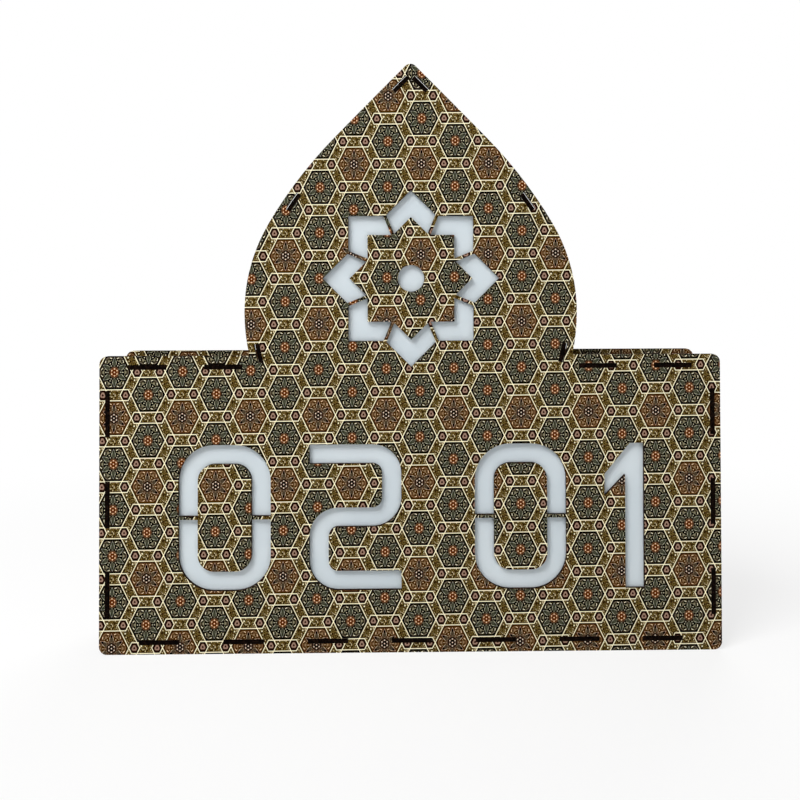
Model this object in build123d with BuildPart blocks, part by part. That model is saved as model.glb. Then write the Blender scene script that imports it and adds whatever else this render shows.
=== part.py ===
from build123d import *
import os
from collections import namedtuple
from math import acos, asin, atan2, cos, degrees, radians, sin, sqrt, tan

# A wall board for a prayer hall: a shallow laser-cut box with a dome on top. Stencil windows in the
# front panel glow when the lights behind their opal sheets are switched on at the back.
# Millimetres. X runs to the right as seen from the front, the front faces -Y, and Z is up from the table.

# Sheet stock and fits
SHEET = 3.0
OPAL_SHEET = 2.0
KERF = 0.15
TAB_SHORT = 0.3

# Outline of the two panels
BOARD_W = 420.0
SHOULDER_H = 200.0
CORNER_R = 5.5
DEPTH = 60.0
DOME_RISE = 200.0
DOME_HALF_W = 112.6
DOME_WIDEST_RISE = 29.5
DOME_FOOT_R = 133.0
DOME_SIDE_R = 118.0
DOME_SIDE_TURN = 30.5
DOME_PEAK_SLOPE = 45.0
APEX_R = 5.0

# How far each wall stands inside the panels' edge
BOTTOM_INSET = 6.5
SIDE_INSET = 4.0
LEDGE_INSET = 6.0
DOME_INSET = 5.2

# Tabs that lock the walls into slots in both panels, spread evenly between bare ends
BOTTOM_TAB_COUNT = 7
BOTTOM_TAB_L = 27.0
BOTTOM_BARE_END = 8.0
SIDE_TAB_COUNT = 3
SIDE_TAB_L = 31.0
SIDE_BARE_END = 2.5
LEDGE_TAB_COUNT = 2
LEDGE_TAB_L = 25.5
LEDGE_BARE_END = 2.5
LEDGE_UNDER_DOME = 0.5
DOME_TAB_COUNT = 3
DOME_TAB_L = 13.0
DOME_FOOT_BARE = 1.2
DOME_PEAK_BARE = 2.8
DOME_SLOT_ROOM = 0.7
FINGER_W = 12.0
FINGER_PITCH = 27.0

# Living hinge that lets the dome strips bend
SLIT_W = 0.8
SLIT_PITCH = 4.5
SLIT_LAND = 8.0

# Partitions between the three lit chambers
PARTITION_DROP = 19.5
UPRIGHT_X = 18.0
CROSS_TAB_COUNT = 3
CROSS_TAB_PITCH = 120.0
UPRIGHT_TAB_COUNT = 2
UPRIGHT_TAB_PITCH = 88.0
PARTITION_TAB_L = 27.0
WIRE_NOTCH_W = 6.0
WIRE_NOTCH_DEPTH = 4.0

# Stencil windows: an eight-pointed star in the dome and two plain numbers below
STROKE = 13.0
BRIDGE = 2.2
STAR_R = 60.0
STAR_DOT_R = 9.0
DIGIT_W = 62.0
DIGIT_H = 98.0
DIGIT_GAP = 26.0
ZERO_R = 24.0
TWO_BEND_R = 13.0
FLAG = 14.0
FLAG_DROP = 21.0
FLAG_END = 15.0
OPAL_LAP = 8.0
STAR_FOOT_GAP = 2.0
# Shares of a lower chamber's spare room: beside the upright partition, and above the bottom wall
INNER_SHARE = 0.29
LOWER_SHARE = 0.44

# Light tapes on the inside of the back panel
TAPE_W = 8.0
TAPE_T = 0.4
LEFT_TAPE_L = 150.0
RIGHT_TAPE_L = 100.0
UPPER_TAPE_L = 100.0
LOWER_TAPE_PITCH = 48.0
UPPER_TAPE_PITCH = 40.0
CHIP_PITCH = 16.667
CHIP_SIZE = 5.0
CHIP_T = 1.4
PAD_PITCH = 4.0

# Wires
WIRE_R = 0.6
WIRE_BEND_R = 3.6
WIRE_LIFT = 0.1

# Three-position rocker switch in the back panel
SWITCH_FROM_JACK = 40.0
SWITCH_H = 30.0
BEZEL_LAP = 1.15
BEZEL_T = 2.0
BEZEL_CORNER_R = 1.5
BODY_L = 18.8
BODY_W = 12.6
BODY_DEPTH = 15.0
BODY_ROOM = 0.2
BODY_WALL = 1.15
CATCH_REACH = 0.6
CATCH_L = 3.5
CATCH_W = 6.0
ROCKER_ROOM = 0.35
ROCKER_SINK = 1.0
ROCKER_DISH = 2.0
ROCKER_TOP_ANGLE = 38.0
ROCKER_FOOT_ANGLE = 20.0
ROCKER_TURN = 10.0
PIVOT_R = 1.2
PIVOT_FIT = 0.05
PIVOT_L = 0.9
BLADE_PITCH = 6.0
BLADE_W = 4.8
BLADE_T = 0.8
BLADE_L = 7.0

# Power inlet in the back panel
JACK_FROM_EDGE = 32.0
JACK_H = 30.0
JACK_FLANGE_LAP = 1.6
JACK_FLANGE_T = 1.5
JACK_BARREL_R = 3.9
JACK_BARREL_L = 12.0
JACK_ROOM = 0.15
JACK_BORE_R = 2.8
JACK_BORE_DEPTH = 9.5
JACK_PIN_R = 1.0
JACK_PIN_SINK = 1.5
NUT_WALL = 1.6
NUT_T = 2.4
NUT_FIT = 0.05
LUG_W = 2.4
LUG_T = 0.5
LUG_L = 5.0
LUG_PITCH = 4.0

# Keyholes for hanging the board on two screws
KEYHOLE_X = 120.0
KEYHOLE_DROP = 50.0
KEYHOLE_R = 5.0
KEYHOLE_SLOT_W = 5.0
KEYHOLE_RISE = 12.0

# Depths: the box and what stands out of its back are centred on Y = 0
ROCKER_R = BODY_L / 2 - BODY_WALL - ROCKER_ROOM
REAR_REACH = ROCKER_R * sin(radians(ROCKER_TOP_ANGLE)) - ROCKER_SINK
FRONT_Y = -(DEPTH + REAR_REACH) / 2
FRONT_IN_Y = FRONT_Y + SHEET
BACK_Y = FRONT_Y + DEPTH
BACK_IN_Y = BACK_Y - SHEET
MID_Y = FRONT_Y + DEPTH / 2
INNER_DEPTH = DEPTH - 2 * SHEET

# Heights and half widths of the walls
BOTTOM_TOP = BOTTOM_INSET + SHEET
LEDGE_TOP = SHOULDER_H - LEDGE_INSET
LEDGE_UNDER = LEDGE_TOP - SHEET
SIDE_OUT = BOARD_W / 2 - SIDE_INSET
SIDE_IN = SIDE_OUT - SHEET
CROSS_H = SHOULDER_H - PARTITION_DROP
CROSS_UNDER = CROSS_H - SHEET / 2

# Dome: four tangent arcs on each side. The first two bulge about the widest height. The last two, flank
# and peak, meet half way between equal tangents and reach the apex at its slope. A turn is the angle of
# the edge's outward normal, and a radius below zero means that the arc is hollow.
WIDEST_H = SHOULDER_H + DOME_WIDEST_RISE
APEX_H = SHOULDER_H + DOME_RISE
FOOT_X = DOME_HALF_W - DOME_FOOT_R
SIDE_X = DOME_HALF_W - DOME_SIDE_R
APEX_TURN = 90 - DOME_PEAK_SLOPE
FLANK_START = Vector(DOME_SIDE_R, 0).rotate(Axis.Z, DOME_SIDE_TURN) + Vector(SIDE_X, WIDEST_H)
FLANK_WAY = Vector(0, 1).rotate(Axis.Z, DOME_SIDE_TURN)
PEAK_WAY = Vector(0, 1).rotate(Axis.Z, APEX_TURN)
CLIMB = Vector(0, APEX_H) - FLANK_START
BOTH_WAYS = CLIMB.dot(FLANK_WAY + PEAK_WAY)
UNLIKE = 1 - FLANK_WAY.dot(PEAK_WAY)
TANGENT_L = (sqrt(BOTH_WAYS**2 + 2 * UNLIKE * CLIMB.dot(CLIMB)) - BOTH_WAYS) / (2 * UNLIKE)
MEET_WAY = CLIMB - (FLANK_WAY + PEAK_WAY) * TANGENT_L
MEET_TURN = degrees(atan2(MEET_WAY.Y, MEET_WAY.X)) - 90
FLANK_R = TANGENT_L / tan(radians(MEET_TURN - DOME_SIDE_TURN) / 2)
PEAK_R = TANGENT_L / tan(radians(APEX_TURN - MEET_TURN) / 2)

# Middles of the windows and of the lit chambers behind them
STAR_H = CROSS_H + SHEET / 2 + STAR_FOOT_GAP + OPAL_LAP + STAR_R
LEFT_L = 2 * DIGIT_W + DIGIT_GAP
RIGHT_L = DIGIT_W + DIGIT_GAP + STROKE + FLAG
UPRIGHT_LEFT = UPRIGHT_X - SHEET / 2
UPRIGHT_RIGHT = UPRIGHT_X + SHEET / 2
LEFT_SPARE = SIDE_IN + UPRIGHT_LEFT - LEFT_L - 2 * OPAL_LAP
RIGHT_SPARE = SIDE_IN - UPRIGHT_RIGHT - RIGHT_L - 2 * OPAL_LAP
LOWER_SPARE = CROSS_UNDER - BOTTOM_TOP - DIGIT_H - 2 * OPAL_LAP
LEFT_X = UPRIGHT_LEFT - INNER_SHARE * LEFT_SPARE - OPAL_LAP - LEFT_L / 2
RIGHT_X = UPRIGHT_RIGHT + INNER_SHARE * RIGHT_SPARE + OPAL_LAP + RIGHT_L / 2
DIGIT_BASE = BOTTOM_TOP + LOWER_SHARE * LOWER_SPARE + OPAL_LAP
DIGIT_MID = DIGIT_BASE + DIGIT_H / 2

# Places on the back panel
JACK_X = BOARD_W / 2 - JACK_FROM_EDGE
SWITCH_X = JACK_X - SWITCH_FROM_JACK
KEYHOLE_H = SHOULDER_H - KEYHOLE_DROP
JACK_FLANGE_R = JACK_BARREL_R + JACK_FLANGE_LAP

os.makedirs("parts", exist_ok=True)


def facing_front(y):
    """A plane across the board at a depth, with X to the right, Z up and its normal to the front."""
    return Plane.XZ.offset(-y)


def facing_back(x, z, reach=0.0):
    """A plane that looks out of the back panel, at a place on it and a reach out of its face."""
    return Plane(origin=(x, BACK_Y + reach, z), x_dir=(1, 0, 0), z_dir=(0, 1, 0))


def save(part, name):
    """Label a finished piece and write it."""
    part.label = name
    export_step(part, f"parts/{name}.step")


def dome_edge(inset, foot_h):
    """Draw the dome's right edge at an inset, from a foot height up to the centre line."""
    foot_radius = DOME_FOOT_R - inset
    foot_turn = asin((WIDEST_H - foot_h) / foot_radius)
    foot_point = (FOOT_X + foot_radius * cos(foot_turn), foot_h)
    top_turn = degrees(acos(PEAK_R * cos(radians(APEX_TURN)) / (PEAK_R - inset)))
    foot = JernArc(foot_point, (sin(foot_turn), cos(foot_turn)), foot_radius, degrees(foot_turn))
    side = JernArc(foot @ 1, foot % 1, DOME_SIDE_R - inset, DOME_SIDE_TURN)
    flank = JernArc(side @ 1, side % 1, abs(FLANK_R - inset), MEET_TURN - DOME_SIDE_TURN)
    peak = JernArc(flank @ 1, flank % 1, abs(PEAK_R - inset), top_turn - MEET_TURN)
    return foot, peak


# Outline that both panels share: a rectangle with the dome on its middle
with BuildSketch() as panel_outline:
    with BuildLine():
        dome_foot, _ = dome_edge(0, SHOULDER_H)
        Polyline(dome_foot @ 0, (BOARD_W / 2, SHOULDER_H), (BOARD_W / 2, 0), (0, 0))
        mirror(about=Plane.YZ)
    make_face()
    corners = vertices().group_by(Axis.X)
    fillet(corners[0] + corners[-1], CORNER_R)
    fillet(vertices().sort_by(Axis.Y)[-1], APEX_R)


# Straight walls: the middle of each board in X and Z, the way it runs, its length and its tabs.
# Fingers are those of the side walls' ends, and notches take them in the boards that they meet.
Wall = namedtuple("Wall", "x z angle length tabs notches fingers")


def spread(length, bare_end, count):
    """Pitch of tabs that share a length evenly between two bare ends."""
    return (length - 2 * bare_end) / count


SIDE_L = LEDGE_UNDER - BOTTOM_TOP
SIDE_MID = (LEDGE_UNDER + BOTTOM_TOP) / 2
SIDE_PITCH = spread(LEDGE_TOP - BOTTOM_INSET, SIDE_BARE_END, SIDE_TAB_COUNT)
BOTTOM_PITCH = spread(2 * SIDE_OUT, BOTTOM_BARE_END, BOTTOM_TAB_COUNT)
STRIP_FOOT_R = DOME_FOOT_R - DOME_INSET - SHEET
LEDGE_IN = FOOT_X + STRIP_FOOT_R * cos(asin((WIDEST_H - LEDGE_TOP) / STRIP_FOOT_R)) - LEDGE_UNDER_DOME
LEDGE_L = SIDE_OUT - LEDGE_IN
LEDGE_MID = (SIDE_OUT + LEDGE_IN) / 2
LEDGE_PITCH = spread(LEDGE_L, LEDGE_BARE_END, LEDGE_TAB_COUNT)
LEDGE_H = LEDGE_TOP - SHEET / 2
BOTTOM_H = BOTTOM_INSET + SHEET / 2
SIDE_X_MID = SIDE_OUT - SHEET / 2

Tabs = namedtuple("Tabs", "count length pitch")
BOTTOM_TABS = Tabs(BOTTOM_TAB_COUNT, BOTTOM_TAB_L, BOTTOM_PITCH)
SIDE_TABS = Tabs(SIDE_TAB_COUNT, SIDE_TAB_L, SIDE_PITCH)
LEDGE_TABS = Tabs(LEDGE_TAB_COUNT, LEDGE_TAB_L, LEDGE_PITCH)

WALLS = {
    "bottom_wall": Wall(0, BOTTOM_H, 0, 2 * SIDE_OUT, BOTTOM_TABS, (-1, 1), ()),
    "left_wall": Wall(-SIDE_X_MID, SIDE_MID, 90, SIDE_L, SIDE_TABS, (), (-1, 1)),
    "right_wall": Wall(SIDE_X_MID, SIDE_MID, 90, SIDE_L, SIDE_TABS, (), (-1, 1)),
    "left_ledge_wall": Wall(-LEDGE_MID, LEDGE_H, 0, LEDGE_L, LEDGE_TABS, (-1,), ()),
    "right_ledge_wall": Wall(LEDGE_MID, LEDGE_H, 0, LEDGE_L, LEDGE_TABS, (1,), ()),
}


def wall_plane(wall):
    """The middle plane of a straight wall: along the board, across its depth."""
    turn = radians(wall.angle)
    along = (cos(turn), 0, sin(turn))
    through = (-sin(turn), 0, cos(turn))
    return Plane(origin=(wall.x, MID_Y, wall.z), x_dir=along, z_dir=through)


def straight_wall(wall):
    """A board as deep as the box inside, with tabs on both long edges and finger joints at its ends."""
    with BuildPart() as board:
        with BuildSketch(wall_plane(wall)):
            Rectangle(wall.length, INNER_DEPTH)
            with GridLocations(wall.tabs.pitch, 0, wall.tabs.count, 1):
                Rectangle(wall.tabs.length, DEPTH - 2 * TAB_SHORT)
            for end in wall.notches:
                with Locations((end * wall.length / 2, 0)):
                    with GridLocations(0, FINGER_PITCH, 1, 2):
                        Rectangle(2 * SHEET, FINGER_W + 2 * KERF, mode=Mode.SUBTRACT)
            for end in wall.fingers:
                with Locations((end * wall.length / 2, 0)):
                    with GridLocations(0, FINGER_PITCH, 1, 2):
                        Rectangle(2 * SHEET, FINGER_W)
        extrude(amount=SHEET / 2, both=True)
    return board.part


# Dome strip: the middle line that it follows from the ledge wall to the centre line, and its tabs
with BuildLine() as strip_line:
    _, strip_peak = dome_edge(DOME_INSET + SHEET / 2, LEDGE_TOP)
STRIP = strip_line.wire()
BENT_RUN = STRIP.length - strip_peak.length
FIRST_TAB_RUN = DOME_FOOT_BARE + DOME_TAB_L / 2
LAST_TAB_RUN = STRIP.length - DOME_PEAK_BARE - DOME_TAB_L / 2
DOME_TAB_PITCH = (LAST_TAB_RUN - FIRST_TAB_RUN) / (DOME_TAB_COUNT - 1)
DOME_TAB_RUNS = [FIRST_TAB_RUN + DOME_TAB_PITCH * i for i in range(DOME_TAB_COUNT)]


def strip_face(near, far):
    """The right strip seen from the front, between two insets from the dome's edge."""
    with BuildSketch() as face:
        with BuildLine():
            outer_foot, outer_peak = dome_edge(near, LEDGE_TOP)
            inner_foot, inner_peak = dome_edge(far, LEDGE_TOP)
            Line(outer_foot @ 0, inner_foot @ 0)
            Line(outer_peak @ 1, inner_peak @ 1)
        make_face()
    return face.sketch


def strip_stretch(near, far, run, length):
    """One stretch of the strip between two insets, centred on a run from its foot."""
    spot = STRIP.position_at(run, PositionMode.LENGTH)
    along = STRIP.tangent_at(run, PositionMode.LENGTH)
    whole = strip_face(near, far)
    with BuildSketch() as stretch:
        add(whole)
        with Locations((spot.X, spot.Y)):
            Rectangle(length, 4 * SHEET, rotation=degrees(atan2(along.Y, along.X)), mode=Mode.INTERSECT)
    return stretch.sketch


def hinge_rows():
    """Runs of the slit rows: over each bent stretch between two tabs, clear of both."""
    rows = []
    for low, high in zip(DOME_TAB_RUNS, DOME_TAB_RUNS[1:]):
        start = low + DOME_TAB_L / 2 + SLIT_PITCH
        stop = min(high - DOME_TAB_L / 2 - SLIT_PITCH, BENT_RUN)
        count = int((stop - start) / SLIT_PITCH) + 1
        rows += [start + SLIT_PITCH * i for i in range(count)]
    return rows


def strip_plane(run, y):
    """A plane on the strip's middle line, with its X along the strip and its normal through it."""
    spot = STRIP.position_at(run, PositionMode.LENGTH)
    along = STRIP.tangent_at(run, PositionMode.LENGTH)
    return Plane(origin=(spot.X, y, spot.Y), x_dir=(along.X, 0, along.Y), z_dir=(along.Y, 0, -along.X))


STRIP_FACE = strip_face(DOME_INSET, DOME_INSET + SHEET)
DOME_TAB_FACES = [strip_stretch(DOME_INSET, DOME_INSET + SHEET, run, DOME_TAB_L) for run in DOME_TAB_RUNS]
DOME_SLOT_FACES = [
    strip_stretch(DOME_INSET - DOME_SLOT_ROOM, DOME_INSET + SHEET + KERF, run, DOME_TAB_L + 2 * KERF)
    for run in DOME_TAB_RUNS
]

# Bent strip: slits across it, staggered row by row, leave a lattice that bends. It stays whole at its
# tabs and along the peak, which is almost straight.
SHORT_SLIT_L = (INNER_DEPTH - SLIT_LAND) / 2
LONG_SLIT_L = INNER_DEPTH - 2 * SLIT_LAND
EDGE_SLIT_Y = SLIT_LAND / 2 + (SHORT_SLIT_L + SHEET) / 2
ROWS = hinge_rows()

with BuildPart() as right_dome_wall:
    with BuildSketch(facing_front(BACK_IN_Y)):
        add(STRIP_FACE)
    extrude(amount=INNER_DEPTH)
    with BuildSketch(facing_front(BACK_Y - TAB_SHORT)):
        add(DOME_TAB_FACES)
    extrude(amount=DEPTH - 2 * TAB_SHORT)
    with Locations([strip_plane(run, MID_Y) for run in ROWS[1::2]]):
        Box(SLIT_W, LONG_SLIT_L, 3 * SHEET, mode=Mode.SUBTRACT)
    with Locations([strip_plane(run, MID_Y + side * EDGE_SLIT_Y) for run in ROWS[::2] for side in (-1, 1)]):
        Box(SLIT_W, SHORT_SLIT_L + SHEET, 3 * SHEET, mode=Mode.SUBTRACT)

with BuildPart() as left_dome_wall:
    mirror(right_dome_wall.part, about=Plane.YZ)


# Stencil windows, with thin bridges that hold the islands
def zero(x):
    """A rounded zero whose island hangs on a bridge at each side."""
    island_w = DIGIT_W - 2 * STROKE
    island_h = DIGIT_H - 2 * STROKE
    with BuildSketch() as digit:
        with Locations((x, DIGIT_MID)):
            RectangleRounded(DIGIT_W, DIGIT_H, ZERO_R)
            RectangleRounded(island_w, island_h, ZERO_R - STROKE, mode=Mode.SUBTRACT)
            Rectangle(DIGIT_W, BRIDGE, mode=Mode.SUBTRACT)
    return digit.sketch


def two(x):
    """A two drawn as one stroke with round bends."""
    out = DIGIT_W / 2
    turn = (DIGIT_W - STROKE) / 2
    rise = (DIGIT_H - STROKE) / 2
    points = [(-out, rise), (turn, rise), (turn, 0), (-turn, 0), (-turn, -rise), (out, -rise)]
    with BuildSketch() as digit:
        with BuildLine():
            FilletPolyline(*[(x + across, DIGIT_MID + up) for across, up in points], radius=TWO_BEND_R)
        trace(line_width=STROKE)
    return digit.sketch


def one(x):
    """A one: an upright bar with a slanting flag at its head."""
    edge = STROKE / 2
    top = DIGIT_MID + DIGIT_H / 2
    foot = DIGIT_BASE
    tip = x - edge - FLAG
    with BuildSketch() as digit:
        with BuildLine():
            Polyline(
                (x + edge, foot),
                (x + edge, top),
                (x - edge / 2, top),
                (tip, top - FLAG_DROP),
                (tip, top - FLAG_DROP - FLAG_END),
                (x - edge, top - FLAG_END - edge),
                (x - edge, foot),
                close=True,
            )
        make_face()
    return digit.sketch


def star():
    """An eight-pointed star band of two crossed squares, its island on eight bridges, with a round eye."""
    side = STAR_R * 2 ** 0.5
    with BuildSketch() as band:
        with Locations((0, STAR_H)):
            for turn in (0, 45):
                Rectangle(side, side, rotation=turn)
            for turn in (0, 45):
                Rectangle(side - 2 * STROKE, side - 2 * STROKE, rotation=turn, mode=Mode.SUBTRACT)
            for turn in (22.5, 67.5, 112.5, 157.5):
                Rectangle(2 * STAR_R, BRIDGE, rotation=turn, mode=Mode.SUBTRACT)
            Circle(STAR_DOT_R)
    return band.sketch


WINDOWS = [
    zero(LEFT_X - LEFT_L / 2 + DIGIT_W / 2),
    two(LEFT_X + LEFT_L / 2 - DIGIT_W / 2),
    zero(RIGHT_X - RIGHT_L / 2 + DIGIT_W / 2),
    one(RIGHT_X + RIGHT_L / 2 - STROKE / 2),
    star(),
]

# Slots for every tab of the straight walls and the dome strips
with BuildSketch() as wall_slots:
    for wall in WALLS.values():
        with Locations(Location((wall.x, wall.z), wall.angle)):
            with GridLocations(wall.tabs.pitch, 0, wall.tabs.count, 1):
                Rectangle(wall.tabs.length + 2 * KERF, SHEET + 2 * KERF)
    add(DOME_SLOT_FACES)
    mirror(DOME_SLOT_FACES, about=Plane.YZ)

with BuildPart() as front_panel:
    with BuildSketch(facing_front(FRONT_IN_Y)):
        add(panel_outline.sketch)
        add(wall_slots.sketch, mode=Mode.SUBTRACT)
        add(WINDOWS, mode=Mode.SUBTRACT)
    extrude(amount=SHEET)

# Middle of the upright partition, which stands between the bottom wall and the cross partition
UPRIGHT_L = CROSS_UNDER - BOTTOM_TOP
UPRIGHT_MID = (CROSS_UNDER + BOTTOM_TOP) / 2

with BuildPart() as back_panel:
    with BuildSketch(facing_front(BACK_Y)):
        add(panel_outline.sketch)
        add(wall_slots.sketch, mode=Mode.SUBTRACT)
        with Locations((0, CROSS_H)):
            with GridLocations(CROSS_TAB_PITCH, 0, CROSS_TAB_COUNT, 1):
                Rectangle(PARTITION_TAB_L + 2 * KERF, SHEET + 2 * KERF, mode=Mode.SUBTRACT)
        with Locations((UPRIGHT_X, UPRIGHT_MID)):
            with GridLocations(0, UPRIGHT_TAB_PITCH, 1, UPRIGHT_TAB_COUNT):
                Rectangle(SHEET + 2 * KERF, PARTITION_TAB_L + 2 * KERF, mode=Mode.SUBTRACT)
        with Locations((-KEYHOLE_X, KEYHOLE_H), (KEYHOLE_X, KEYHOLE_H)):
            Circle(KEYHOLE_R, mode=Mode.SUBTRACT)
            with Locations((0, KEYHOLE_RISE / 2)):
                SlotCenterToCenter(KEYHOLE_RISE, KEYHOLE_SLOT_W, rotation=90, mode=Mode.SUBTRACT)
        with Locations((SWITCH_X, SWITCH_H)):
            Rectangle(BODY_L + 2 * BODY_ROOM, BODY_W + 2 * BODY_ROOM, mode=Mode.SUBTRACT)
        with Locations((JACK_X, JACK_H)):
            Circle(JACK_BARREL_R + JACK_ROOM, mode=Mode.SUBTRACT)
    extrude(amount=SHEET)

# Light tapes: two rows behind each window, lit chips at a steady pitch along them
Zone = namedtuple("Zone", "x z length pitch")
ZONES = {
    "left": Zone(LEFT_X, DIGIT_MID, LEFT_TAPE_L, LOWER_TAPE_PITCH),
    "right": Zone(RIGHT_X, DIGIT_MID, RIGHT_TAPE_L, LOWER_TAPE_PITCH),
    "upper": Zone(0, STAR_H, UPPER_TAPE_L, UPPER_TAPE_PITCH),
}
TAPE_Y = BACK_IN_Y - TAPE_T


def tapes(zone):
    """The two tapes of a chamber, stuck to the back panel."""
    with BuildPart() as strips:
        with BuildSketch(facing_front(BACK_IN_Y)):
            with Locations((zone.x, zone.z)):
                with GridLocations(0, zone.pitch, 1, 2):
                    Rectangle(zone.length, TAPE_W)
        extrude(amount=TAPE_T)
    return strips.part


def chips(zone):
    """The light chips on the two tapes of a chamber."""
    count = round(zone.length / CHIP_PITCH)
    with BuildPart() as lights:
        with BuildSketch(facing_front(TAPE_Y)):
            with Locations((zone.x, zone.z)):
                with GridLocations(CHIP_PITCH, zone.pitch, count, 2):
                    Rectangle(CHIP_SIZE, CHIP_SIZE)
        extrude(amount=CHIP_T)
    return lights.part


# Opal sheets glued behind the windows
with BuildPart() as left_diffuser:
    with BuildSketch(facing_front(FRONT_IN_Y + OPAL_SHEET)):
        with Locations((LEFT_X, DIGIT_MID)):
            Rectangle(LEFT_L + 2 * OPAL_LAP, DIGIT_H + 2 * OPAL_LAP)
    extrude(amount=OPAL_SHEET)

with BuildPart() as right_diffuser:
    with BuildSketch(facing_front(FRONT_IN_Y + OPAL_SHEET)):
        with Locations((RIGHT_X, DIGIT_MID)):
            Rectangle(RIGHT_L + 2 * OPAL_LAP, DIGIT_H + 2 * OPAL_LAP)
    extrude(amount=OPAL_SHEET)

with BuildPart() as upper_diffuser:
    with BuildSketch(facing_front(FRONT_IN_Y + OPAL_SHEET)):
        with Locations((0, STAR_H)):
            RegularPolygon(STAR_R + OPAL_LAP, 8, major_radius=False, rotation=22.5)
    extrude(amount=OPAL_SHEET)

# Routes of the wires on the inside of the back panel
WIRE_Y = BACK_IN_Y - WIRE_R - WIRE_LIFT
LUG_Y = BACK_Y - JACK_BARREL_L - LUG_L / 2
BLADE_Y = BACK_Y - BODY_DEPTH - BLADE_L / 2
LEFT_END = LEFT_X + LEFT_TAPE_L / 2
RIGHT_END = RIGHT_X + RIGHT_TAPE_L / 2
UPPER_END = UPPER_TAPE_L / 2
LOWER_ROW = DIGIT_MID - LOWER_TAPE_PITCH / 2
HIGHER_ROW = DIGIT_MID + LOWER_TAPE_PITCH / 2
STAR_ROW = STAR_H - UPPER_TAPE_PITCH / 2
PAD = PAD_PITCH / 2
FEED_X = UPRIGHT_RIGHT + 2 * PAD_PITCH
RISER_IN_X = RIGHT_END - PAD_PITCH
RISER_OUT_X = JACK_X + 3 * PAD_PITCH
DUCT_H = (CROSS_H + SHEET / 2 + LEDGE_UNDER) / 2

# Cross partition: it spans the box, with tabs into the back panel and notches for the wires
with BuildPart() as cross_partition:
    with BuildSketch(Plane.XY.offset(CROSS_UNDER)):
        with Locations((0, MID_Y)):
            Rectangle(2 * SIDE_IN, INNER_DEPTH)
        with Locations((0, BACK_IN_Y)):
            with GridLocations(CROSS_TAB_PITCH, 0, CROSS_TAB_COUNT, 1):
                Rectangle(PARTITION_TAB_L, 2 * (SHEET - TAB_SHORT))
        with Locations((RISER_IN_X, BACK_IN_Y), (RISER_OUT_X, BACK_IN_Y)):
            Rectangle(WIRE_NOTCH_W, 2 * WIRE_NOTCH_DEPTH, mode=Mode.SUBTRACT)
    extrude(amount=SHEET)

with BuildPart() as upright_partition:
    with BuildSketch(Plane.YZ.offset(UPRIGHT_X - SHEET / 2)):
        with Locations((MID_Y, UPRIGHT_MID)):
            Rectangle(INNER_DEPTH, UPRIGHT_L)
        with Locations((BACK_IN_Y, UPRIGHT_MID)):
            with GridLocations(0, UPRIGHT_TAB_PITCH, 1, UPRIGHT_TAB_COUNT):
                Rectangle(2 * (SHEET - TAB_SHORT), PARTITION_TAB_L)
        with Locations((BACK_IN_Y, LOWER_ROW)):
            Rectangle(2 * WIRE_NOTCH_DEPTH, 2 * WIRE_NOTCH_W, mode=Mode.SUBTRACT)
    extrude(amount=SHEET)

# Switch housing: a bezel on the panel, a body through it that two catches hold, and a well for the rocker
BEZEL_L = BODY_L + 2 * BEZEL_LAP
BEZEL_W = BODY_W + 2 * BEZEL_LAP
WELL_L = BODY_L - 2 * BODY_WALL
WELL_W = BODY_W - 2 * BODY_WALL
ROCKER_W = WELL_W - 2 * ROCKER_ROOM
WELL_DEPTH = ROCKER_SINK + ROCKER_R * sin(radians(ROCKER_FOOT_ANGLE + ROCKER_TURN)) + 2 * ROCKER_ROOM
PIVOT_Y = BACK_Y - ROCKER_SINK

with BuildPart() as switch_housing:
    with BuildSketch(facing_back(SWITCH_X, SWITCH_H)):
        RectangleRounded(BEZEL_L, BEZEL_W, BEZEL_CORNER_R)
    extrude(amount=BEZEL_T)
    chamfer(faces().sort_by(Axis.Y)[-1].edges(), BEZEL_T / 3)
    with BuildSketch(facing_back(SWITCH_X, SWITCH_H)):
        Rectangle(BODY_L, BODY_W)
    extrude(amount=-BODY_DEPTH)
    with BuildSketch(Plane.XY.offset(SWITCH_H)):
        for side in (-1, 1):
            root = SWITCH_X + side * BODY_L / 2
            with BuildLine():
                Polyline(
                    (root, BACK_IN_Y),
                    (root + side * CATCH_REACH, BACK_IN_Y),
                    (root, BACK_IN_Y - CATCH_L),
                    close=True,
                )
            make_face()
    extrude(amount=CATCH_W / 2, both=True)
    with BuildSketch(facing_back(SWITCH_X, SWITCH_H, BEZEL_T)):
        Rectangle(WELL_L, WELL_W)
    extrude(amount=-(BEZEL_T + WELL_DEPTH), mode=Mode.SUBTRACT)
    with BuildSketch(Plane.XY.offset(SWITCH_H)):
        with Locations((SWITCH_X, PIVOT_Y)):
            Circle(PIVOT_R + PIVOT_FIT)
    extrude(amount=BODY_W, both=True, mode=Mode.SUBTRACT)


def rocker_point(angle):
    """A point of the rocker's round ends, at an angle above the pivot's level."""
    turn = radians(angle)
    return (SWITCH_X + ROCKER_R * cos(turn), PIVOT_Y + ROCKER_R * sin(turn))


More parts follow.
